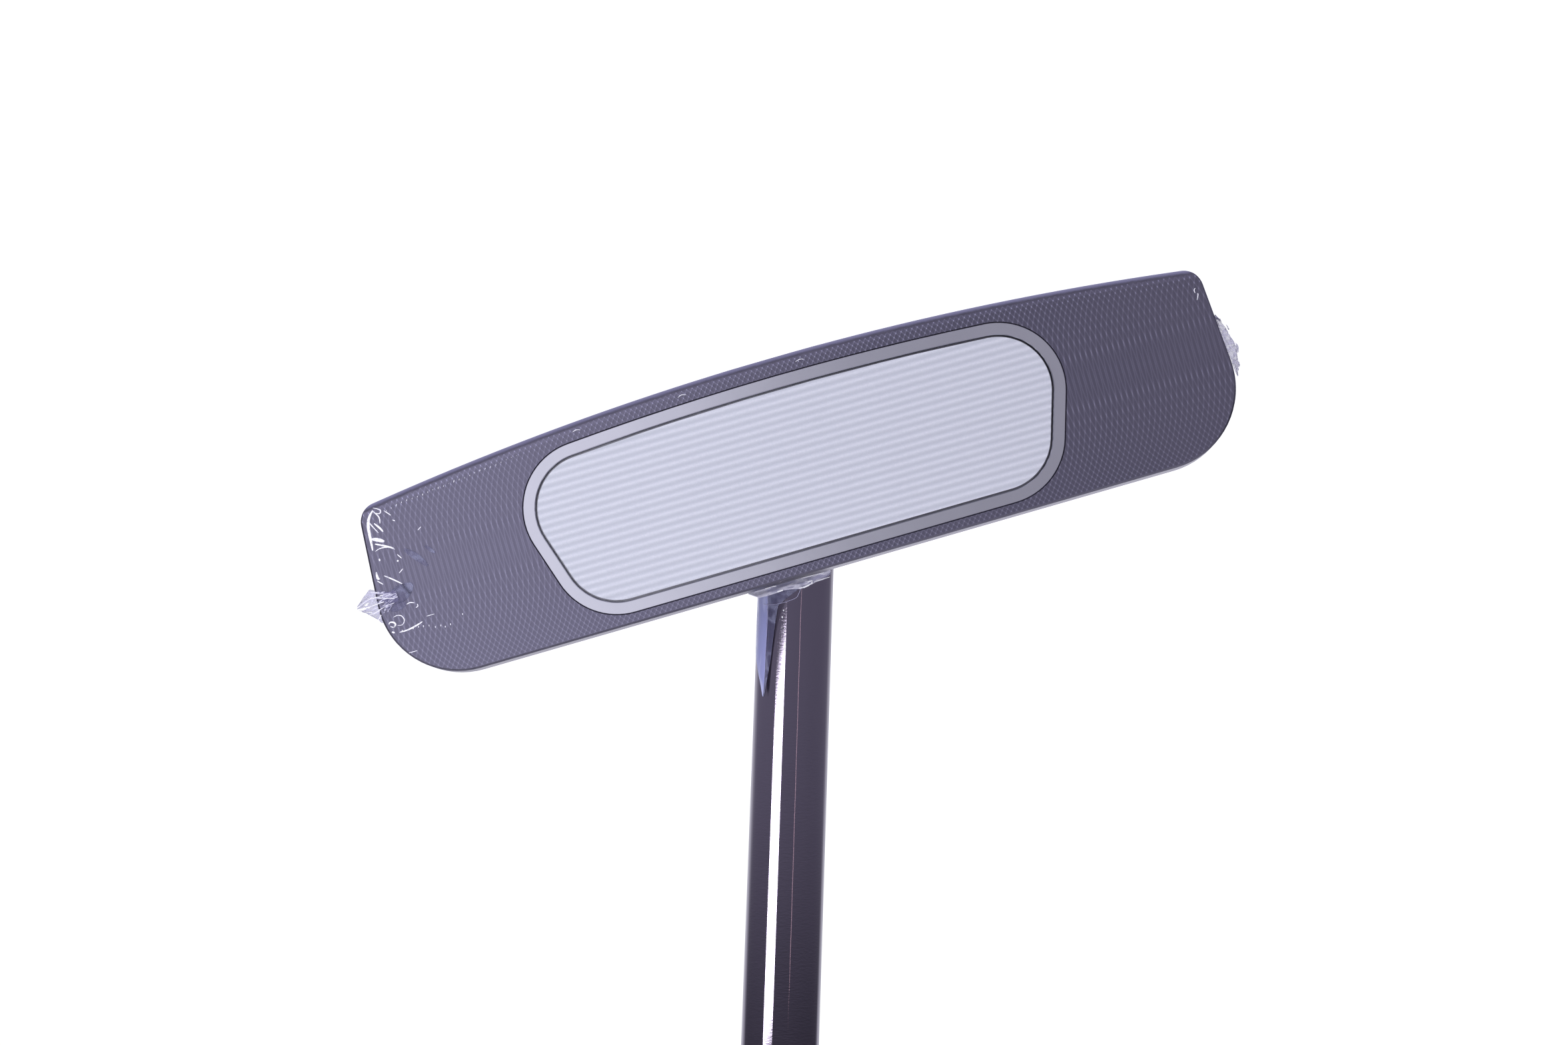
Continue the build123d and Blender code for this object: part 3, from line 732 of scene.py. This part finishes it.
def makeHeelTuft():
    root, tip = Vector(heelTuft["root"]), Vector(heelTuft["tip"])

    def place(u, v):
        middle = root.lerp(tip, u)
        low, high = between(heelTuft["below"], u), between(heelTuft["above"], u)
        up = middle.y - low + (low + high) * v + 0.12 * rough(u, v, 6, 1.3)
        across = middle.x - (v - 0.35) ** 2 * 2.6 * u + 0.15 * rough(u, v, 7, 4.2)
        pleat = sin(v * heelTuft["pleats"] * 2 * pi + 2.5 * rough(u, v, 2.5, 3.0))
        swing = heelTuft["fold"] * pleat * (0.25 + 0.6 * u)
        out = heelTuft["lift"] * (1 - u) * 0.6 + swing - 1.3 * u * u
        return onFaceMm(across, up, out)

    def keep(u, v):
        # a ragged tip with a few holes in it
        torn = u >= 0.92 + 0.30 * rough(0.3 * u, v, 9, 2.2)
        hole = u > 0.7 and rough(0.35 * u, v, 14, 6.0) > 0.34
        return not torn and not hole

    return crumple("film_heel_gather", (44, 56), place, filmGather, keep, "film_heel_tuft")


def makeToeTuft():
    low, high = Vector(toeTuft["low"]), Vector(toeTuft["high"])

    def place(u, v):
        bulge = toeTuft["bulge"] * sin(pi * min(1.0, v * 0.9 + 0.06)) ** 0.8 * u
        middle = low.lerp(high, v)
        across = middle.x - bulge + 0.22 * rough(u, v, 9, 5.5) * u
        up = middle.y + 0.3 * rough(u, v, 6, 0.4)
        out = -0.9 * u - 0.3 + toeTuft["fold"] * rough(u, v, 11, 9.1)
        return onFaceMm(across, up, out)

    def keep(u, v):
        return u < 0.85 + 0.4 * rough(u, v, 11, 3.7)

    return crumple("film_toe_gather", (16, 60), place, filmGather, keep, "film_toe_tuft")


# behind the topline the film is folded over the front of the shaft
shaftFold = {
    "from": 10.6, "to": -0.2, "low": 27.1, "depth": 9.7, "fold": 0.10,
    "high": (27.65, 28.46, 28.53, 28.5, 28.42, 28.55, 28.85, 28.75, 28.53, 28.5, 28.0),
    "glintDepth": 9.3,
    "glints": [
        (0.055, [(8.4, 27.55), (7.7, 27.55), (6.95, 27.62)]),
        (0.10, [(7.0, 28.38), (6.6, 28.36), (6.3, 28.36)]),
        (0.05, [(4.3, 28.66), (3.8, 28.72), (3.1, 28.64), (2.4, 28.5)]),
        (0.04, [(3.7, 28.82), (2.9, 28.70)]),
        (0.06, [(3.0, 28.25), (2.4, 28.22), (2.6, 28.5)]),
        (0.035, [(2.2, 28.42), (1.2, 28.42), (0.15, 28.40)]),
        (0.035, [(5.8, 27.47), (3.2, 27.56), (0.7, 27.67)]),
    ],
}
# on the shaft: along its axis in mm, and round it from the front towards the heel in degrees
shaftFilm = {
    "from": 15.2, "to": 29.0, "proud": 0.05,
    "inner": (45.5, 45.0, 44.6, 44.8, 45.5, 46.2, 47.0, 48.6),
    "outer": (97.0, 97.0, 95.0, 92.0, 86.0, 70.0, 58.0, 49.6),
    "hazeFrom": (-7.0, 26.0, 30.0, 33.0, 36.0, 41.0, 46.5),
    "hazeTo": (46.0, 45.3, 45.0, 45.4, 46.2, 47.4, 48.8),
    "loop": [
        (16.9, 67), (17.35, 52), (17.4, 39), (17.3, 27),
        (17.0, 13), (16.5, -1), (16.0, -5), (15.3, -8),
    ],
    # painted highlights, as small white spots on the film: along, turn and size
    "dots": [
        (18.1, 16.8, 0.085), (18.95, 18.5, 0.10), (20.3, 18.6, 0.04),
        (20.4, 14.2, 0.045), (20.9, 15.8, 0.05),
    ],
    "edgeFrom": 15.3, "edgeStep": 0.9, "edgeCount": 13, "edgeTurn": 45.6, "edgeThick": 0.05,
}


def makeShaftFold():
    def place(u, v):
        across = shaftFold["from"] + (shaftFold["to"] - shaftFold["from"]) * u
        up = shaftFold["low"] + (between(shaftFold["high"], u) - shaftFold["low"]) * v
        ripple = shaftFold["fold"] * rough(u, v, 5, 6.0) + 0.3 * v + 0.10 * sin(v * 9 + u * 4)
        return onFaceMm(across, up, ripple - shaftFold["depth"])

    return crumple("film_shaft_fold", (66, 14), place, film, replaced="film_shaft_strip")


# the tube's radius at its tip and how much it grows over its length, in mm
shaftTube = {"tipRadius": 4.7, "tipDepth": 8.0, "length": 858.0, "growth": 2.75}


def aroundShaft(along, turn, proud):
    # a point on the shaft, along its axis from the bore and turned from the front towards the heel
    grown = (along + shaftTube["tipDepth"]) / shaftTube["length"] * shaftTube["growth"]
    radius = (shaftTube["tipRadius"] + grown + proud) * mm
    front = Vector((0, -radius * cos(radians(turn)), 0))
    return shaftStart + shaftWay * along * mm + shaftSide * radius * sin(radians(turn)) + front


def makeShaftFlap():
    # the end of the film lies along the heel side of the shaft
    def place(u, v):
        along = shaftFilm["from"] + (shaftFilm["to"] - shaftFilm["from"]) * v
        turn = between(shaftFilm["inner"], v) * (1 - u) + between(shaftFilm["outer"], v) * u
        return aroundShaft(along, turn, shaftFilm["proud"] + 0.03 * rough(u, v, 3, 2.0))

    return crumple("film_shaft_flap", (14, 60), place, filmFlap)


def makeShaftHaze():
    # a single clear layer beside the flap
    def place(u, v):
        along = shaftFilm["from"] + (shaftFilm["to"] - shaftFilm["from"]) * v
        turn = between(shaftFilm["hazeFrom"], v) * (1 - u) + between(shaftFilm["hazeTo"], v) * u
        return aroundShaft(along, turn, shaftFilm["proud"] * 0.6)

    return crumple("film_shaft_haze", (16, 30), place, filmSheen)


def makeShaftGlints():
    # painted highlights on the film over the shaft: glints along the fold and small spots
    bm = bmesh.new()
    for thick, path in shaftFold["glints"]:
        points = smoothLine([onFaceMm(*spot, -shaftFold["glintDepth"]) for spot in path], 3)
        sweep(bm, points, [thick * mm] * len(points), flatten=0.6)
    for along, turn, size in shaftFilm["dots"]:
        ends = [aroundShaft(along - size * k, turn, 0.03) for k in (-1.2, -0.5, 0.5, 1.2)]
        sweep(bm, ends, [size * k * mm for k in (0.4, 1.0, 1.0, 0.4)], flatten=0.5)
    bmesh.ops.recalc_face_normals(bm, faces=bm.faces)
    return finishPiece("film_shaft_glints", bm, filmGlint)


def makeShaftLines():
    # the hem of the film round the shaft, and the edge of the flap: real edges, drawn with a
    # painted highlight that glows a little
    bm = bmesh.new()
    points = smoothLine([aroundShaft(along, turn, 0.04) for along, turn in shaftFilm["loop"]], 6)
    sweep(bm, points, [0.04 * mm] * len(points), flatten=0.6)
    edge, radii = [], []
    for i in range(shaftFilm["edgeCount"]):
        along = shaftFilm["edgeFrom"] + i * shaftFilm["edgeStep"]
        edge.append(aroundShaft(along, shaftFilm["edgeTurn"] + 0.02 * i, 0.07))
        radii.append(shaftFilm["edgeThick"] * mm * (1 - i / 16))
    sweep(bm, edge, radii, flatten=0.5)
    bmesh.ops.recalc_face_normals(bm, faces=bm.faces)
    return finishPiece("film_shaft_lines", bm, filmLine)


# the seam runs up the back of the grip, with a row of slanted stitches on either side
gripSeam = {
    "clubLength": 864 * mm, "length": 267 * mm, "clear": 60 * mm,
    "from": 8 * mm, "to": 250 * mm, "steps": 60, "ridge": 0.45 * mm,
    "stitchGap": 4.0 * mm, "stitchLength": 2.6 * mm, "stitchThick": 0.42 * mm,
    "stitchAside": 0.75 * mm, "stitchSink": 0.08 * mm, "stitchSlant": 0.35 * mm,
    "stitchMargin": 2 * mm,
}


def onGrip(along):
    # a point on the heel side of the grip's skin, along from its mouth
    start = gripSeam["clubLength"] - head["boreHeight"] / cos(head["lean"]) - gripSeam["length"]
    far = shaftStart + shaftWay * (start + along) + shaftSide * gripSeam["clear"]
    return cadNodes["grip_skin"].ray_cast(far, -shaftSide)[1]


def makeGripSeam():
    bm = bmesh.new()
    steps = gripSeam["steps"]
    reach = gripSeam["to"] - gripSeam["from"]
    points = [onGrip(gripSeam["from"] + reach * i / steps) for i in range(steps + 1)]
    sweep(bm, points, [gripSeam["ridge"]] * len(points), sides=10, out=shaftSide)
    bmesh.ops.recalc_face_normals(bm, faces=bm.faces)
    return finishPiece("grip_seam", bm, gripSkin)


def makeGripStitches():
    bm = bmesh.new()
    thick = gripSeam["stitchThick"]
    along = gripSeam["from"] + gripSeam["stitchMargin"]
    while along < gripSeam["to"] - gripSeam["stitchMargin"]:
        for way in (-1, 1):
            side = Vector((0, way, 0))
            sunk = onGrip(along) - shaftSide * gripSeam["stitchSink"]
            middle = sunk + side * gripSeam["stitchAside"]
            half = shaftWay * gripSeam["stitchLength"] / 2 + side * gripSeam["stitchSlant"]
            ends = [middle - half, middle, middle + half]
            sweep(bm, ends, [thick * 0.5, thick, thick * 0.5], out=shaftSide)
        along += gripSeam["stitchGap"]
    bmesh.ops.recalc_face_normals(bm, faces=bm.faces)
    return finishPiece("grip_stitches", bm, stitchThread)


# the shank is cut down to the root, and the ridge is wound on it out to the crest
thread = {
    "pitch": 1.25 * mm, "root": 3.85 * mm, "crest": 4.38 * mm, "shank": 4.4 * mm,
    "start": 0.35 * mm, "turns": 4.4, "steps": 28, "sunk": 0.1 * mm,
}


def makeThreadedWeight(name, side):
    lean = weightWay(side)
    seat = Vector((side * weights["across"], weights["back"], weights["up"])) * mm
    bm = bmesh.new()
    bm.from_mesh(cadNodes[name].data)
    bmesh.ops.remove_doubles(bm, verts=bm.verts, dist=0.001 * mm)
    ends = []
    for v in bm.verts:
        away = v.co - seat
        along = away.dot(lean)
        radial = away - lean * along
        if abs(radial.length - thread["shank"]) < 0.02 * mm:
            v.co -= radial * (1 - thread["root"] / thread["shank"])
            ends.append(along)
    # a V-shaped ridge wound round the shank
    outward = Vector((0, 1, 0))
    start = seat + lean * (min(ends) + thread["start"])
    half = lean * thread["pitch"] * 0.42
    foot = start + outward * (thread["root"] - thread["sunk"])
    crest = start + outward * thread["crest"]
    corners = [foot - half, crest - half * 0.2, crest + half * 0.2, foot + half]
    profile = bm.faces.new([bm.verts.new(c) for c in corners])
    count = int(thread["turns"] * thread["steps"])
    bmesh.ops.spin(
        bm, geom=[profile] + list(profile.edges) + list(profile.verts), cent=seat, axis=lean,
        dvec=lean * thread["pitch"] / thread["steps"], angle=2 * pi * thread["turns"], steps=count,
    )
    bmesh.ops.recalc_face_normals(bm, faces=bm.faces)
    piece = finishPiece(
        name + "_threaded", bm, weightSteel, body=name, smooth=False
    )
    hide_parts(name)
    return piece


makeRibbedPad()
makeFoldGlints()
makeFilmSheens()
makeHeelTuft()
makeToeTuft()
makeShaftFold()
makeShaftFlap()
makeShaftHaze()
makeShaftGlints()
makeShaftLines()
makeGripSeam()
makeGripStitches()
makeThreadedWeight("heel_weight", 1)
makeThreadedWeight("toe_weight", -1)
print("pieces made")

# a dim room in front, lighter low down and overhead, and a white sweep behind
room = {
    "front": (0.50, 0.49, 0.60), "behind": (1.0, 1.0, 1.10), "overhead": (0.60, 0.60, 0.68),
    "dim": 0.25, "heelLift": 0.10, "seen": 1.05,
    "floorDrop": 80 * mm, "floorSize": 12.0, "floorGlow": 0.70,
}


def makeRoom():
    world = bpy.data.worlds.new("room")
    bpy.context.scene.world = world
    world.use_nodes = True
    world.node_tree.nodes.clear()
    graph = Graph(world.node_tree)
    way = graph.node("ShaderNodeTexCoord", out="Generated")
    x, y, z = [graph.node("ShaderNodeSeparateXYZ", None, {0: way}, out=i) for i in range(3)]
    # how far the way looks up along the shaft
    climb = graph.node(
        "ShaderNodeVectorMath", {"operation": "DOT_PRODUCT"}, {0: way, 1: shaftWay}, out="Value"
    )
    dusk = climb.ramp(-0.03, 0.06, 1.0, room["dim"])
    tone = graph.mix(y.ramp(0.55, 0.90), room["front"], room["behind"])
    tone = graph.mix(climb.ramp(0.35, 0.80), tone, room["overhead"])
    light = dusk.most(y.ramp(0.45, 0.85)).most(climb.ramp(0.30, 0.60))
    light = light * (1.0 + x * room["heelLift"])
    lit = graph.node("ShaderNodeBackground", None, {"Color": tone, "Strength": light})
    plain = {"Color": (1, 1, 1, 1), "Strength": room["seen"]}
    seen = graph.node("ShaderNodeBackground", None, plain)
    camera = graph.node("ShaderNodeLightPath", out="Is Camera Ray")
    chosen = graph.node("ShaderNodeMixShader", None, {0: camera, 1: lit, 2: seen})
    out = world.node_tree.nodes.new("ShaderNodeOutputWorld")
    graph.feed(out.inputs["Surface"], chosen)


def makeFloor():
    bm = bmesh.new()
    bmesh.ops.create_grid(bm, x_segments=1, y_segments=1, size=room["floorSize"])
    bmesh.ops.translate(bm, verts=bm.verts, vec=(0, 0, cadLow.z - room["floorDrop"]))
    mesh = bpy.data.meshes.new("floor")
    bm.to_mesh(mesh)
    bm.free()
    pale = Finish("paleFloor", roughness=0.9, baseColor=(0.8, 0.8, 0.8, 1.0))
    pale.set(emissionColor=(1, 1, 1, 1), emissionStrength=room["floorGlow"])
    mesh.materials.append(pale.material)
    floor = bpy.data.objects.new("floor", mesh)
    bpy.context.scene.collection.objects.link(floor)
    floor.visible_glossy = False  # keeps the polished parts from mirroring it
    floor.visible_diffuse = False


# light from in front falls on the head only, and the last two draw the bright lines on the shaft
softboxes = {
    "heelBox": {
        "place": (0.143, -0.158, 0.013), "aim": (0.143, 0.0, 0.013), "size": (0.270, 0.36),
        "radiance": 1.25, "colour": (0.93, 0.93, 1.0), "roll": 0.0, "shaft": "EXCLUDE",
    },
    "frontFill": {
        "place": (-0.022, -0.158, 0.013), "aim": (-0.022, 0.0, 0.013), "size": (0.060, 0.30),
        "radiance": 0.14, "colour": (0.93, 0.93, 1.0), "roll": 0.0, "shaft": "EXCLUDE",
    },
    "toeBox": {
        "place": (-0.152, -0.158, 0.013), "aim": (-0.152, 0.0, 0.013), "size": (0.200, 0.30),
        "radiance": 0.36, "colour": (1.0, 0.95, 1.0), "roll": 0.0, "shaft": "EXCLUDE",
    },
    "topBox": {
        "place": (-0.10, 0.42, 0.50), "aim": (0.0, 0.03, 0.01), "size": (0.50, 0.40),
        "radiance": 1.8, "colour": (1.0, 0.98, 1.0), "roll": 0.0, "shaft": "EXCLUDE",
    },
    "shaftGlow": {
        "place": (0.259, -0.290, -0.018), "aim": (0.259, 0.0, -0.018), "size": (0.245, 0.068),
        "radiance": 16.0, "colour": (1, 1, 1), "roll": radians(-15.4), "shaft": "INCLUDE",
    },
    "shaftLine": {
        "place": (-0.092, -0.290, 0.082), "aim": (-0.092, 0.0, 0.082), "size": (0.006, 0.075),
        "radiance": 2.4, "colour": (1.0, 0.72, 0.66), "roll": 0.0, "shaft": "INCLUDE",
    },
}


def makeSoftbox(name, box):
    data = bpy.data.lights.new(name, "AREA")
    data.shape = "RECTANGLE"
    data.size, data.size_y = box["size"]
    data.energy = box["radiance"] * data.size * data.size_y * pi
    data.color = box["colour"]
    lamp = bpy.data.objects.new(name, data)
    lamp.location = box["place"]
    way = Vector(box["aim"]) - Vector(box["place"])
    turn = way.to_track_quat("-Z", "Y") @ Quaternion((0, 0, 1), box["roll"])
    lamp.rotation_euler = turn.to_euler()
    lamp.visible_camera = False
    bpy.context.scene.collection.objects.link(lamp)
    # the light falls on the shaft alone, or on everything but the shaft
    group = bpy.data.collections.new(name + "Linked")
    group.objects.link(cadNodes["shaft"])
    group.collection_objects[0].light_linking.link_state = box["shaft"]
    lamp.light_linking.receiver_collection = group


# the camera looks squarely at the face, upside down; the field is measured at the face
viewpoint = {
    "fieldWidth": 195.3 * mm, "lens": 135.0, "sensor": 36.0,
    "roll": radians(16.05), "across": 3.8 * mm, "up": 20.2 * mm,
}


def makeCamera():
    data = bpy.data.cameras.new("camera")
    data.lens = viewpoint["lens"]
    data.sensor_width = viewpoint["sensor"]
    distance = viewpoint["fieldWidth"] * data.lens / data.sensor_width
    data.clip_start = 0.01
    data.clip_end = 100.0
    right = faceUp * sin(viewpoint["roll"]) - faceRight * cos(viewpoint["roll"])
    down = faceUp * cos(viewpoint["roll"]) + faceRight * sin(viewpoint["roll"])
    camera = bpy.data.objects.new("camera", data)
    turn = Matrix((right, -down, faceOut)).transposed().to_4x4()
    stand = onFace(viewpoint["across"], viewpoint["up"], distance)
    camera.matrix_world = Matrix.Translation(stand) @ turn
    bpy.context.scene.collection.objects.link(camera)
    bpy.context.scene.camera = camera


makeRoom()
makeFloor()
for name, box in softboxes.items():
    makeSoftbox(name, box)
makeCamera()
bpy.context.scene.view_settings.view_transform = "Standard"
print("room, light and camera made")
